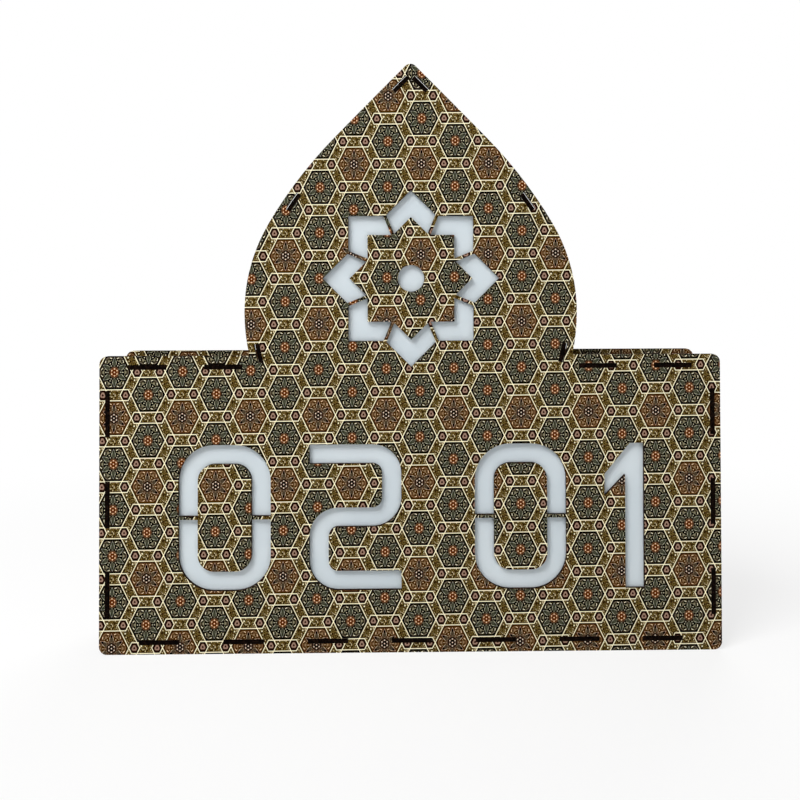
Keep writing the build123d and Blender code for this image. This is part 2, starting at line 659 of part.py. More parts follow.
# Rocker: two wings that rise from a dished middle, round ends about the pivot, and a stub on each side
with BuildPart() as switch_rocker:
    with BuildSketch(Plane.XY.offset(SWITCH_H)):
        with BuildLine():
            wing = Line((SWITCH_X, PIVOT_Y + ROCKER_DISH), rocker_point(ROCKER_TOP_ANGLE))
            end = ThreePointArc(wing @ 1, rocker_point(0), rocker_point(-ROCKER_FOOT_ANGLE))
            Line(end @ 1, (SWITCH_X, (end @ 1).Y))
            mirror(about=Plane.YZ.offset(SWITCH_X))
        make_face()
        fillet(vertices().sort_by(Axis.Y)[-2:], ROCKER_ROOM)
    extrude(amount=ROCKER_W / 2, both=True)
    with BuildSketch(Plane.XY.offset(SWITCH_H)):
        with Locations((SWITCH_X, PIVOT_Y)):
            Circle(PIVOT_R)
    extrude(amount=ROCKER_W / 2 + PIVOT_L, both=True)

with BuildPart() as switch_blades:
    with BuildSketch(facing_back(SWITCH_X, SWITCH_H, -BODY_DEPTH)):
        with GridLocations(BLADE_PITCH, 0, 3, 1):
            Rectangle(BLADE_T, BLADE_W)
    extrude(amount=-BLADE_L)

# Power inlet: a flanged barrel with a socket, its contact pin, the nut behind the panel and two lugs
with BuildPart() as jack_body:
    with BuildSketch(facing_back(JACK_X, JACK_H)):
        Circle(JACK_FLANGE_R)
    extrude(amount=JACK_FLANGE_T)
    chamfer(edges().group_by(Axis.Y)[-1], JACK_FLANGE_T / 3)
    with BuildSketch(facing_back(JACK_X, JACK_H)):
        Circle(JACK_BARREL_R)
    extrude(amount=-JACK_BARREL_L)
    with BuildSketch(facing_back(JACK_X, JACK_H, JACK_FLANGE_T)):
        Circle(JACK_BORE_R)
    extrude(amount=-JACK_BORE_DEPTH, mode=Mode.SUBTRACT)

with BuildPart() as jack_pin:
    with BuildSketch(facing_back(JACK_X, JACK_H, JACK_FLANGE_T - JACK_BORE_DEPTH)):
        Circle(JACK_PIN_R)
    extrude(amount=JACK_BORE_DEPTH - JACK_PIN_SINK)
    chamfer(edges().group_by(Axis.Y)[-1], JACK_PIN_R / 2)

with BuildPart() as jack_nut:
    with BuildSketch(facing_back(JACK_X, JACK_H, -SHEET)):
        RegularPolygon(JACK_BARREL_R + NUT_WALL, 6, major_radius=False)
        Circle(JACK_BARREL_R + NUT_FIT, mode=Mode.SUBTRACT)
    extrude(amount=-NUT_T)

with BuildPart() as jack_lugs:
    with BuildSketch(facing_back(JACK_X, JACK_H, -JACK_BARREL_L)):
        with GridLocations(0, LUG_PITCH, 1, 2):
            Rectangle(LUG_W, LUG_T)
    extrude(amount=-LUG_L)


def wire(*points):
    """A thin wire, six-sided in section, along straight runs with one bend radius."""
    with BuildPart() as lead:
        with BuildLine() as route:
            FilletPolyline(*points, radius=WIRE_BEND_R)
        with BuildSketch(Plane(origin=route.line @ 0, z_dir=route.line % 0)):
            RegularPolygon(WIRE_R, 6)
        sweep()
    return lead.part


def flat_route(*points):
    """Points of a route that lies on the back panel, from X and Z."""
    return [(x, WIRE_Y, z) for x, z in points]


PLUS_LUG_H = JACK_H - LUG_PITCH / 2
MINUS_LUG_H = JACK_H + LUG_PITCH / 2
LEFT_BLADE_X = SWITCH_X - BLADE_PITCH
RIGHT_BLADE_X = SWITCH_X + BLADE_PITCH
BLADE_TOP = SWITCH_H + BLADE_W / 2
SUPPLY_Y = (min(LUG_Y + LUG_L / 2, BACK_Y - BODY_DEPTH) + max(LUG_Y - LUG_L / 2, BLADE_Y - BLADE_L / 2)) / 2
BEND = 2 * WIRE_BEND_R
SUPPLY_H = BOTTOM_TOP + BEND
RETURN_H = BOTTOM_TOP + WIRE_BEND_R
LANE_H = max(SWITCH_H, JACK_H) + BODY_W / 2 + BEND
BETWEEN_X = (SWITCH_X + JACK_X) / 2
TAPE_FOOT = LOWER_ROW - TAPE_W / 2
TAPE_HEAD = HIGHER_ROW + TAPE_W / 2
OUTER_PAD_X = RIGHT_END - PAD
INNER_PAD_X = RIGHT_END - 3 * PAD
LANE_START_X = LEFT_BLADE_X - (WIRE_Y - BLADE_Y)

WIRES = {
    "wire_supply": wire(
        (JACK_X, SUPPLY_Y, PLUS_LUG_H - LUG_T / 2),
        (JACK_X, SUPPLY_Y, SUPPLY_H),
        (SWITCH_X, SUPPLY_Y, SUPPLY_H),
        (SWITCH_X, SUPPLY_Y, SWITCH_H - BLADE_W / 2),
    ),
    "wire_right_plus": wire(
        (RIGHT_BLADE_X, BLADE_Y, BLADE_TOP),
        (RIGHT_BLADE_X, BLADE_Y, LANE_H),
        *flat_route((INNER_PAD_X, TAPE_FOOT - BEND), (INNER_PAD_X, TAPE_FOOT)),
    ),
    "wire_left_plus": wire(
        (LEFT_BLADE_X, BLADE_Y, BLADE_TOP),
        (LEFT_BLADE_X, BLADE_Y, LANE_H),
        *flat_route(
            (LANE_START_X, LANE_H),
            (FEED_X + PAD_PITCH, LANE_H),
            (FEED_X + PAD_PITCH, LOWER_ROW + PAD),
            (LEFT_END, LOWER_ROW + PAD),
        ),
    ),
    "wire_upper_plus": wire(
        (JACK_X + LUG_W / 2, LUG_Y, PLUS_LUG_H),
        (RISER_OUT_X, LUG_Y, PLUS_LUG_H),
        *flat_route(
            (RISER_OUT_X, LANE_H),
            (RISER_OUT_X, DUCT_H + PAD),
            (UPPER_END + 4 * PAD_PITCH, DUCT_H + PAD),
            (UPPER_END + 4 * PAD_PITCH, STAR_ROW + PAD),
            (UPPER_END, STAR_ROW + PAD),
        ),
    ),
    "wire_right_minus": wire(
        (JACK_X, LUG_Y, MINUS_LUG_H + LUG_T / 2),
        (JACK_X, LUG_Y, LANE_H),
        *flat_route((OUTER_PAD_X, TAPE_FOOT - BEND), (OUTER_PAD_X, TAPE_FOOT)),
    ),
    "wire_left_minus": wire(
        (JACK_X - LUG_W / 2, LUG_Y, MINUS_LUG_H),
        (JACK_X - JACK_FLANGE_R - BEND, LUG_Y, MINUS_LUG_H),
        *flat_route(
            (BETWEEN_X, RETURN_H),
            (FEED_X, RETURN_H),
            (FEED_X, LOWER_ROW - PAD),
            (LEFT_END, LOWER_ROW - PAD),
        ),
    ),
    "wire_upper_minus": wire(
        *flat_route(
            (RISER_IN_X, TAPE_HEAD),
            (RISER_IN_X, DUCT_H - PAD),
            (UPPER_END + 2 * PAD_PITCH, DUCT_H - PAD),
            (UPPER_END + 2 * PAD_PITCH, STAR_ROW - PAD),
            (UPPER_END, STAR_ROW - PAD),
        ),
    ),
}

# Short straight links between the two tapes of each chamber, at their left ends
with BuildPart() as tape_links:
    for zone in ZONES.values():
        end = zone.x - zone.length / 2
        gap = zone.pitch - TAPE_W
        with BuildSketch(Plane.XY.offset(zone.z - gap / 2)):
            with Locations((end + PAD, WIRE_Y), (end + 3 * PAD, WIRE_Y)):
                RegularPolygon(WIRE_R, 6)
        extrude(amount=gap)

# Finished pieces
for name, wall in WALLS.items():
    save(straight_wall(wall), name)
for name, zone in ZONES.items():
    save(tapes(zone), f"{name}_tapes")
    save(chips(zone), f"{name}_chips")
for name, lead in WIRES.items():
    save(lead, name)

save(front_panel.part, "front_panel")
save(back_panel.part, "back_panel")
save(right_dome_wall.part, "right_dome_wall")
save(left_dome_wall.part, "left_dome_wall")
save(cross_partition.part, "cross_partition")
save(upright_partition.part, "upright_partition")
save(left_diffuser.part, "left_diffuser")
save(right_diffuser.part, "right_diffuser")
save(upper_diffuser.part, "upper_diffuser")
save(switch_housing.part, "switch_housing")
save(switch_rocker.part, "switch_rocker")
save(switch_blades.part, "switch_blades")
save(jack_body.part, "jack_body")
save(jack_pin.part, "jack_pin")
save(jack_nut.part, "jack_nut")
save(jack_lugs.part, "jack_lugs")
save(tape_links.part, "tape_links")
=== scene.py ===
from math import cos, pi, radians, sin, sqrt

import bpy
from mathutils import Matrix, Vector


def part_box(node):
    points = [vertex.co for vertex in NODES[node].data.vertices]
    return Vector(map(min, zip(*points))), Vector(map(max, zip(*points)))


# A lit wall board with a dome: a box of laser-cut fibreboard under a printed inlay pattern, with opal
# sheets behind the stencil windows and a rocker switch at the back. Metres, in the frame of the solids.

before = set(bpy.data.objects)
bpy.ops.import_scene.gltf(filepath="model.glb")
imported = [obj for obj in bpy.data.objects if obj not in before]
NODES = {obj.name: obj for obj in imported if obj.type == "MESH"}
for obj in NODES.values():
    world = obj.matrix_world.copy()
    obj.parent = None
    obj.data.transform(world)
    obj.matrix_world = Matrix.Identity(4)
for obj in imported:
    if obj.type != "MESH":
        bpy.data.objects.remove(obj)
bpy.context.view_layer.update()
MM = 0.001
X, Y, Z = range(3)
NOISE_MIDDLE = 0.5

# Printed inlay: hexagon cells in columns, with knots where three cells meet and bands between
COLUMN = 22.88 * MM
ROW = 30.83 * MM
FRONT_PRINT = (-15.17 * MM, 375.9 * MM)
BACK_PRINT = (-3.6 * MM, 236.0 * MM)
SIDE_PRINT = (0.0, 10.0 * MM)
PRINT_LEAN = 0.0092
ROOT3 = sqrt(3)
# Brown cells come round in a cycle of half rows, and each column starts further along it
CYCLE = 14
STEP_ACROSS = 7
BROWN_ROWS = (0, 10)

# Sizes in the print are shares of a row
CELL = 0.381
LINE = 0.0168
SOFT = 0.012
BUD_PLACE = 0.2593
BRACT_PLACE = (0.3112, 0.0741)
BRACT_TURN = 0.7302
BRACT_SIZE = (0.0288, 0.0105)
CORE_R = 0.0132
# An edge has its place and its softness
BUD_EDGE = (0.0455, 0.0428)
ARC_START = (0.3494, 0.03)
BRACT_EDGE = (1.0, 0.8)
SHADE_EDGE = (1.575, 0.25)
SHADE_START = (0.1698, 0.04)
LEAF_EDGE = (1.0, 0.2)
BASE_END = (0.2163, 0.04)
BODY_EDGE = (0.8158, 0.1882)
BODY_END = (0.2864, 0.03)
RIB_EDGE = (1.0, 0.5)
RIM_EDGE = (0.1118, 0.024)
HEART_EDGE = (0.1113, 0.024)
BORDER_EDGE = (0.3356, 0.016)
POINT_EDGE = (0.3633, 0.016)
# A belt has its middle, half its width and its softness
COLLAR_BELT = (0.1521, 0.0242, 0.024)
ARC_BELT = (0.0829, 0.0192, 0.0247)
FLANK_BELT = (0.2221, 0.0096, 0.03)
RING_BELT = (0.0744, 0.0033, 0.014)
# A dot has its place along a spoke, its distance aside and its radius
WING_DOT = (0.258, 0.0641, 0.0104)
BUD_SPOT = (0.2961, 0.0508, 0.0257)
NECK_SPOT = (0.2194, 0.0189, 0.0394)
NECK_DOT = (0.2149, 0.0, 0.0094)
LEAF_SPOT = (0.2343, 0.0847, 0.0148)
BEAD_DOT = (0.163, 0.0, 0.0136)
GAP_SPOT = (0.1491, 0.0, 0.0182)
PEARL_DOT = (0.0762, 0.0, 0.0137)
KNOT_LOBE = (0.024, 0.0, 0.042)
KNOT_HOLE = (0.01, 0.0, 0.018)
# A petal has its start, widest place and end along a spoke, its half width and how bowed its sides are
LEAF_PETAL = (0.1301, 0.1849, 0.3281, 0.0535, 1.7683)
RIB_PETAL = (0.2262, 0.2587, 0.3092, 0.0287, 2.0)
# Each band is mottled, with a bright dot off its middle: the band's direction, and the dot's offset
BAND_GRAIN = (32.0, 32.0, 1.0)
BAND_DARK = (0.52, 0.3)
BAND_RED = (0.55, 0.3)
BAND_PALE = (0.4, 0.25)
RED_CHOICE = (0.25, 0.1)
PALE_CHOICE = (0.66, 0.1)
BAND_DOTS = (
    (pi / 2, -0.108, 0.041),
    (pi * 5 / 6, 0.082, 0.07),
    (pi / 6, -0.09, 0.068),
)
BAND_DOT_R = 0.017
BAND_DOT_SHARE = 0.85
WEAR_GRAIN = 95.0
WEAR_EDGE = (0.62, 0.3)
WEAR_SHARE = 0.12

CREAM = (255, 247, 211)
OLIVE = (108, 91, 44)
OLIVE_DARK = (40, 25, 1)
OLIVE_PALE = (206, 190, 150)
OLIVE_RED = (92, 68, 28)
KNOT_DARK = (26, 5, 0)
KNOT_PINK = (150, 120, 103)
KNOT_CORE = (40, 8, 2)
# Each of these is a pair: in a green cell, and in a brown one
GROUND = (48, 41, 22), (84, 55, 28)
BORDER = (3, 0, 0), (51, 26, 0)
COLLAR = (31, 4, 0), (95, 83, 70)
BUD = (129, 122, 97), (135, 109, 78)
WING = (152, 146, 107), (170, 148, 106)
ARC = (140, 127, 110), (152, 119, 84)
BRACT = (251, 242, 211), (254, 220, 177)
SPOT = (0, 0, 0), (60, 32, 1)
DOT = (248, 239, 202), (255, 222, 175)
LEAF_LIGHT = (162, 158, 144), (197, 161, 135)
LEAF_BASE = (146, 141, 115), (150, 135, 105)
LEAF_FLANK = (214, 216, 182), (231, 222, 192)
LEAF_BODY = (61, 62, 48), (65, 54, 40)
LEAF_CORE = (47, 51, 35), (0, 0, 0)
BEAD = (166, 166, 144), (149, 116, 80)
RIM = (97, 92, 72), (1, 0, 0)
HEART = (84, 35, 3), (20, 12, 7)
RING = (178, 142, 102), (147, 112, 88)
PEARL = (250, 210, 168), (238, 219, 199)

# Cut board: a grain is its swells to the metre, and a ramp where one colour starts to turn and has turned
SOOT = (5, 3, 2)
SOOT_BROWN = (30, 18, 12)
SOOT_GRAIN = 800.0
SOOT_RAMP = (0.45, 0.7)
CHAR = (22, 13, 9)
CHAR_BROWN = (58, 36, 23)
STREAK_GRAIN = (700.0, 40.0, 700.0)
STREAK_RAMP = (0.42, 0.72)
FIBRE = (168, 127, 86)
FIBRE_PALE = (192, 154, 112)
FIBRE_DARK = (132, 95, 61)
FELT_GRAIN = 1300.0
FELT_RAMP = (0.22, 0.48)
FELT_PALE_RAMP = (0.5, 0.75)
FELT_PALE_SHARE = 0.7
PATCH_GRAIN = 60.0
PATCH_RAMP = (0.45, 0.75)
PATCH_SHARE = 0.35
FLECK_GRAIN = (900.0, 900.0, 420.0)
FLECK_EDGE = (0.22, 0.15)
FLECK_CHOICE = (0.78, 0.1)
FLECK_SHARE = 0.5
RAW_ROUGH = 0.82
PRINT_ROUGH = 0.46
ROUGH_GRAIN = 1500.0
ROUGH_SPREAD = 0.2
BOARD_GLOSS = 0.02
BOARD_BUMP = 0.12
BOARD_BUMP_H = 0.12 * MM
# How squarely a face has to look one way to count as that side of a sheet, or of a small moulding
SHEET_SIDE = (0.7, 0.05)
SMALL_SIDE = (0.5, 0.05)

# The dome strips' outer side faces away from this height on the middle line
DOME_MIDDLE = 229.0 * MM
DOME_HALF_W = 112.6 * MM
FLANK_STRETCH = 0.4

# Opal sheets scatter light sideways, so they darken towards the edges of a window
OPAL = (203, 212, 217), (209, 217, 221)
OPAL_CLOUD = 14.0
OPAL_RAMP = (0.35, 0.65)
OPAL_GRAIN = 300.0
OPAL_ROUGH = 0.32
OPAL_ROUGH_SPREAD = 0.1
OPAL_IOR = 1.49
OPAL_GLOSS = 0.2
OPAL_SCATTER = 0.8
OPAL_REACH = 2.5 * MM

# Fittings: each has a darker and a lighter colour
FILM = (232, 232, 226), (242, 242, 238)
CHIP = (226, 226, 220), (238, 238, 234)
CASE_BLACK = (22, 22, 23), (30, 30, 31)
KEY_BLACK = (17, 17, 18), (23, 23, 24)
JACK_BLACK = (20, 20, 21), (28, 28, 29)
TIN = (176, 170, 158), (206, 201, 190)
NICKEL = (178, 178, 176), (205, 205, 203)
WIRE_RED = (165, 18, 16), (184, 26, 22)
WIRE_BLACK = (22, 22, 23), (32, 32, 33)
WIRE_WHITE = (226, 226, 222), (236, 236, 233)
MOTTLE_RAMP = (0.3, 0.7)
FITTING_BUMP_H = 0.05 * MM

# Marks on the switch and lit spots on the chips
MARK_WHITE = (222, 222, 216)
MARK_REACH = 4.6 * MM
MARK_STROKE = 0.5 * MM
MARK_H = 3.0 * MM
MARK_RING_R = 1.3 * MM
MARK_SOFT = 0.06 * MM
PHOSPHOR = (238, 214, 112)
CHIP_PITCH = 16.667 * MM
CHIP_SIZE = 5.0 * MM
SPOT_R = 1.9 * MM

# Floor, light and camera
FLOOR_HALF = 30.0
FLOOR_DROP = 0.1 * MM
FLOOR_GREY = (0.9, 0.9, 0.9, 1.0)
SHADOW_NEAR = 0.2
SHADOW_FAR = 0.8
SHADOW_WHITE = 0.72
WORLD_WHITE = (1.0, 1.0, 1.0, 1.0)
WORLD_LEVEL = 0.16
LIGHT_AIM = Vector((0.0, 0.0, 0.2))
# A lamp has its place, its size in metres and its power in watts
LAMPS = {
    "overhead": ((-0.75, -0.95, 1.45), 0.9, 32.5),
    "fill": ((1.0, -2.2, 0.7), 1.6, 8.0),
    "rear": ((0.6, 1.9, 1.3), 1.6, 25.0),
}
SENSOR = 36.0
FOCAL_PX = 886.9
IMAGE_PX = 800
LENS_SHIFT = (-0.0265, -0.15)
CAMERA_PLACE = (-0.002, -0.633, 0.2425)
CAMERA_TURN = (90.793, 0.183, -0.846)


def linear(colour):
    """Linear RGBA of an 8-bit colour."""
    parts = [c / 255 for c in colour]
    return [c / 12.92 if c <= 0.04045 else ((c + 0.055) / 1.055) ** 2.4 for c in parts] + [1.0]


class Field:
    """A number that varies over a surface, with arithmetic that adds math nodes to its shader tree."""

    def __init__(self, tree, socket):
        self.tree = tree
        self.socket = socket

    def math(self, operation, *others):
        node = self.tree.nodes.new("ShaderNodeMath")
        node.operation = operation
        for slot, value in zip(node.inputs, (self, *others)):
            if isinstance(value, Field):
                self.tree.links.new(value.socket, slot)
            else:
                slot.default_value = value
        return Field(self.tree, node.outputs[0])

    def __add__(self, other):
        return self.math("ADD", other)

    def __sub__(self, other):
        return self.math("SUBTRACT", other)

    def __rsub__(self, other):
        return self.math("MULTIPLY_ADD", -1.0, other)

    def __mul__(self, other):
        return self.math("MULTIPLY", other)

    def __abs__(self):
        return self.math("ABSOLUTE")

    def least(self, other):
        return self.math("MINIMUM", other)

    def most(self, other):
        return self.math("MAXIMUM", other)

    def ramp(self, start, end, low=0.0, high=1.0):
        """Smooth step from low at start to high at end."""
        node = self.tree.nodes.new("ShaderNodeMapRange")
        node.interpolation_type = "SMOOTHSTEP"
        self.tree.links.new(self.socket, node.inputs["Value"])
        node.inputs["From Min"].default_value = start
        node.inputs["From Max"].default_value = end
        node.inputs["To Min"].default_value = low
        node.inputs["To Max"].default_value = high
        return Field(self.tree, node.outputs["Result"])

    def over(self, edge, soft=SOFT):
        """1 where the field is above the edge."""
        return self.ramp(edge - soft / 2, edge + soft / 2)

    def under(self, edge, soft=SOFT):
        """1 where the field is below the edge."""
        return self.ramp(edge - soft / 2, edge + soft / 2, 1.0, 0.0)

    def around(self, middle, half_width, soft):
        """1 where the field is within half a width of the middle."""
        return abs(self - middle).under(half_width, soft)

    def equals(self, number):
        """1 where a field of whole numbers has this one."""
        return self.math("COMPARE", number, 0.5)


class Finish:
    """A material in the making: its shader tree, and the fields that read the surface."""

    def __init__(self, name):
        self.material = bpy.data.materials.new(name)
        self.material.use_nodes = True
        self.tree = self.material.node_tree
        self.shader = self.tree.nodes["Principled BSDF"]
        read = self.tree.nodes.new("ShaderNodeTexCoord")
        self.place = read.outputs["Object"]
        self.at = self.split(self.place)
        self.x, self.y, self.z = self.at
        self.facing = self.split(read.outputs["Normal"])

    def split(self, vector):
        node = self.tree.nodes.new("ShaderNodeSeparateXYZ")
        self.tree.links.new(vector, node.inputs[0])
        return [Field(self.tree, out) for out in node.outputs]

    def join(self, across, up):
        node = self.tree.nodes.new("ShaderNodeCombineXYZ")
        self.tree.links.new(across.socket, node.inputs[0])
        self.tree.links.new(up.socket, node.inputs[1])
        return node.outputs[0]

    def scaled(self, scale, place=None):
        """Place times a scale, which is one number or one for each axis."""
        node = self.tree.nodes.new("ShaderNodeVectorMath")
        node.operation = "MULTIPLY"
        self.tree.links.new(place or self.place, node.inputs[0])
        node.inputs[1].default_value = scale if isinstance(scale, tuple) else (scale, scale, scale)
        return node.outputs[0]

    def noise(self, grain, detail=3.0, roughness=0.6):
        """Noise with so many swells to the metre."""
        node = self.tree.nodes.new("ShaderNodeTexNoise")
        self.tree.links.new(self.scaled(grain), node.inputs["Vector"])
        node.inputs["Scale"].default_value = 1.0
        node.inputs["Detail"].default_value = detail
        node.inputs["Roughness"].default_value = roughness
        return Field(self.tree, node.outputs[0])

    def specks(self, grain, place=None):
        """Distance from scattered points, and a random number that goes with each."""
        node = self.tree.nodes.new("ShaderNodeTexVoronoi")
        self.tree.links.new(self.scaled(grain, place), node.inputs["Vector"])
        node.inputs["Scale"].default_value = 1.0
        tint = self.split(node.outputs["Color"])[0]
        return Field(self.tree, node.outputs["Distance"]), tint

    def lay(self, base, top, mask):
        """Colour of top laid over base where the mask is 1."""
        node = self.tree.nodes.new("ShaderNodeMix")
        node.data_type = "RGBA"
        self.tree.links.new(mask.socket, node.inputs[0])
        for slot, colour in ((node.inputs[6], base), (node.inputs[7], top)):
            if isinstance(colour, tuple):
                slot.default_value = linear(colour)
            else:
                self.tree.links.new(colour, slot)
        return node.outputs[2]

    def bump(self, height, strength, distance):
        node = self.tree.nodes.new("ShaderNodeBump")
        self.tree.links.new(height.socket, node.inputs["Height"])
        node.inputs["Strength"].default_value = strength
        node.inputs["Distance"].default_value = distance
        self.tree.links.new(node.outputs[0], self.shader.inputs["Normal"])

    def colour(self, colour):
        self.tree.links.new(colour, self.shader.inputs["Base Color"])

    def rough(self, field):
        self.tree.links.new(field.socket, self.shader.inputs["Roughness"])

    def set(self, **values):
        """Constant values on the shader's own sockets, with _ for a space in their names."""
        for name, value in values.items():
            self.shader.inputs[name.replace("_", " ")].default_value = value

    def dress(self, *names):
        for name in names:
            slots = NODES[name].data.materials
            slots.clear()
            slots.append(self.material)


def length(across, up):
    """Distance from the middle of a flat pattern."""
    return (across * across + up * up).math("SQRT")


def nearest(value, pitch, start):
    """Offset from the nearest of evenly spaced lines."""
    moved = value - start
    return moved - (moved * (1 / pitch)).math("ROUND") * pitch


def either(first, second, choice):
    """The second field where the choice is 1, and the first elsewhere."""
    return first + (second - first) * choice


def spokes(radius, angle, count, start):
    """Distance along and aside from the nearest of evenly turned spokes."""
    turn = nearest(angle, 2 * pi / count, start)
    return radius * turn.math("COSINE"), abs(radius * turn.math("SINE"))


def petal(along, aside, start, widest, end, half_width, bow):
    """How far a point lies out from the widest place of a petal: 1 at its edge."""
    outer = (along - widest) * (1 / (end - widest))
    inner = (widest - along) * (1 / (widest - start))
    reach = outer.most(inner)
    return aside * (1 / half_width) + reach.math("POWER", bow)


def dots(along, aside, place, off, size):
    """1 inside round dots at a place along each spoke and so far off to both sides of it."""
    return length(along - place, aside - off).under(size)


def bract(along, aside):
    """How far a point lies out from the middle of a slanted oval: 1 at its edge."""
    away = along - BRACT_PLACE[0]
    off = aside - BRACT_PLACE[1]
    long_way = (away * cos(BRACT_TURN) - off * sin(BRACT_TURN)) * (1 / BRACT_SIZE[0])
    cross_way = (away * sin(BRACT_TURN) + off * cos(BRACT_TURN)) * (1 / BRACT_SIZE[1])
    return long_way * long_way + cross_way * cross_way


def cell_tone(f, radius, angle, first, brown):
    """Colour inside a cell, green or brown."""
    corner = spokes(radius, angle, 6, 0.0)
    edge = spokes(radius, angle, 6, pi / 6)
    gap = spokes(radius, angle, 12, pi / 12)
    bud = length(corner[0] - BUD_PLACE, corner[1])
    leaf = petal(*edge, *LEAF_PETAL)
    inside = leaf.under(*LEAF_EDGE)
    layers = (
        (COLLAR, radius.around(*COLLAR_BELT)),
        # A bud with two bright bracts stands towards each corner
        (BUD, bud.under(*BUD_EDGE)),
        (ARC, bud.around(*ARC_BELT) * corner[0].over(*ARC_START)),
        (BRACT, bract(*corner).under(*BRACT_EDGE)),
        (WING, dots(*corner, *WING_DOT)),
        (SPOT, dots(*corner, *BUD_SPOT)),
        (SPOT, dots(*corner, *NECK_SPOT)),
        (DOT, dots(*corner, *NECK_DOT)),
        # A leaf points from the heart to each edge, dark along its rib
        (SPOT, leaf.under(*SHADE_EDGE) * edge[0].over(*SHADE_START)),
        (SPOT, dots(*edge, *LEAF_SPOT)),
        (LEAF_LIGHT, inside),
        (LEAF_BASE, inside * edge[0].under(*BASE_END)),
        (LEAF_FLANK, inside * edge[0].around(*FLANK_BELT)),
        (LEAF_BODY, leaf.under(*BODY_EDGE) * edge[0].under(*BODY_END)),
        (LEAF_CORE, petal(*edge, *RIB_PETAL).under(*RIB_EDGE)),
        # Beads stand round the heart, which has six pearls round a seventh
        (BEAD, dots(*corner, *BEAD_DOT)),
        (SPOT, dots(*gap, *GAP_SPOT)),
        (RIM, corner[0].under(*RIM_EDGE)),
        (HEART, radius.under(*HEART_EDGE)),
        (RING, radius.around(*RING_BELT)),
        (PEARL, dots(*edge, *PEARL_DOT)),
        (PEARL, radius.under(CORE_R)),
        (BORDER, first.over(*BORDER_EDGE).most(corner[0].over(*POINT_EDGE))),
    )
    tone = f.lay(*GROUND, brown)
    for pair, mask in layers:
        tone = f.lay(tone, f.lay(*pair, brown), mask)
    return tone


def band_tone(f, u, v):
    """Colour of the band between two cells: mottled, with one bright dot."""
    grain, tint = f.specks(BAND_GRAIN, f.join(u, v))
    tone = f.lay(OLIVE, OLIVE_DARK, grain.over(*BAND_DARK))
    tone = f.lay(tone, OLIVE_RED, tint.under(*RED_CHOICE) * grain.under(*BAND_RED))
    tone = f.lay(tone, OLIVE_PALE, tint.over(*PALE_CHOICE) * grain.under(*BAND_PALE))
    for turn, off_u, off_v in BAND_DOTS:
        for way in (0.5, -0.5):
            away = length(u - (way * cos(turn) + off_u), v - (way * sin(turn) + off_v))
            tone = f.lay(tone, CREAM, away.under(BAND_DOT_R) * BAND_DOT_SHARE)
    return tone


def knot_tone(f, u, v, angle):
    """Colour of the knot where three cells meet: a rounded trefoil that stands upright."""
    corner_turn = (angle * (3 / pi)).math("ROUND") * (pi / 3)
    knot_u = u - corner_turn.math("COSINE") * (1 / ROOT3)
    knot_v = v - corner_turn.math("SINE") * (1 / ROOT3)
    lobe = spokes(length(knot_u, knot_v), knot_v.math("ARCTAN2", knot_u), 3, pi / 2)
    tone = f.lay(KNOT_DARK, KNOT_PINK, dots(*lobe, *KNOT_LOBE))
    return f.lay(tone, KNOT_CORE, dots(*lobe, *KNOT_HOLE))


def inlay(f, across, up):
    """Colour of the inlay print at a place across and up the sheet."""
    sheet_u = (across - up * PRINT_LEAN) * (ROOT3 / 2 / COLUMN)
    sheet_v = (up - across * PRINT_LEAN) * (1 / ROW)

    # The nearest cell's middle is in one of two sets of columns, half a row apart
    even_u = nearest(sheet_u, ROOT3, 0.0)
    even_v = nearest(sheet_v, 1.0, 0.0)
    odd_u = nearest(sheet_u, ROOT3, ROOT3 / 2)
    odd_v = nearest(sheet_v, 1.0, 0.5)
    farther = even_u * even_u + even_v * even_v - odd_u * odd_u - odd_v * odd_v
    odd = farther.math("GREATER_THAN", 0.0)
    u = either(even_u, odd_u, odd)
    v = either(even_v, odd_v, odd)
    column = ((sheet_u - u) * (2 / ROOT3)).math("ROUND")
    half_row = ((v - sheet_v) * 2).math("ROUND")
    cycle = (half_row + column * STEP_ACROSS).math("FLOORED_MODULO", CYCLE)
    brown = cycle.equals(BROWN_ROWS[0]).most(cycle.equals(BROWN_ROWS[1]))

    # Distances along the three directions to a cell's neighbours, the largest and the second
    rise = abs(v)
    lean = abs(u * cos(pi / 6) + v * sin(pi / 6))
    fall = abs(u * cos(pi / 6) - v * sin(pi / 6))
    first = rise.most(lean).most(fall)
    second = first - rise.least(lean).least(fall)
    angle = v.math("ARCTAN2", u)

    tone = cell_tone(f, length(u, v), angle, first, brown)
    tone = f.lay(tone, band_tone(f, u, v), first.over(CELL))
    tone = f.lay(tone, knot_tone(f, u, v, angle), second.over(CELL))
    line = abs(first - CELL).least(abs(second - CELL).most(CELL - first))
    tone = f.lay(tone, CREAM, line.under(LINE / 2))
    return f.lay(tone, OLIVE_DARK, f.noise(WEAR_GRAIN).over(*WEAR_EDGE) * WEAR_SHARE)


def fibre(f):
    """Colour of raw fibreboard: short felted strands with darker flecks."""
    felt = f.noise(FELT_GRAIN, detail=4.0, roughness=0.7)
    patch = f.noise(PATCH_GRAIN, detail=2.0)
    gap, tint = f.specks(FLECK_GRAIN)
    tone = f.lay(FIBRE_DARK, FIBRE, felt.ramp(*FELT_RAMP))
    tone = f.lay(tone, FIBRE_PALE, felt.ramp(*FELT_PALE_RAMP) * FELT_PALE_SHARE)
    tone = f.lay(tone, FIBRE_PALE, patch.ramp(*PATCH_RAMP) * PATCH_SHARE)
    return f.lay(tone, FIBRE_DARK, gap.under(*FLECK_EDGE) * tint.over(*FLECK_CHOICE) * FLECK_SHARE)


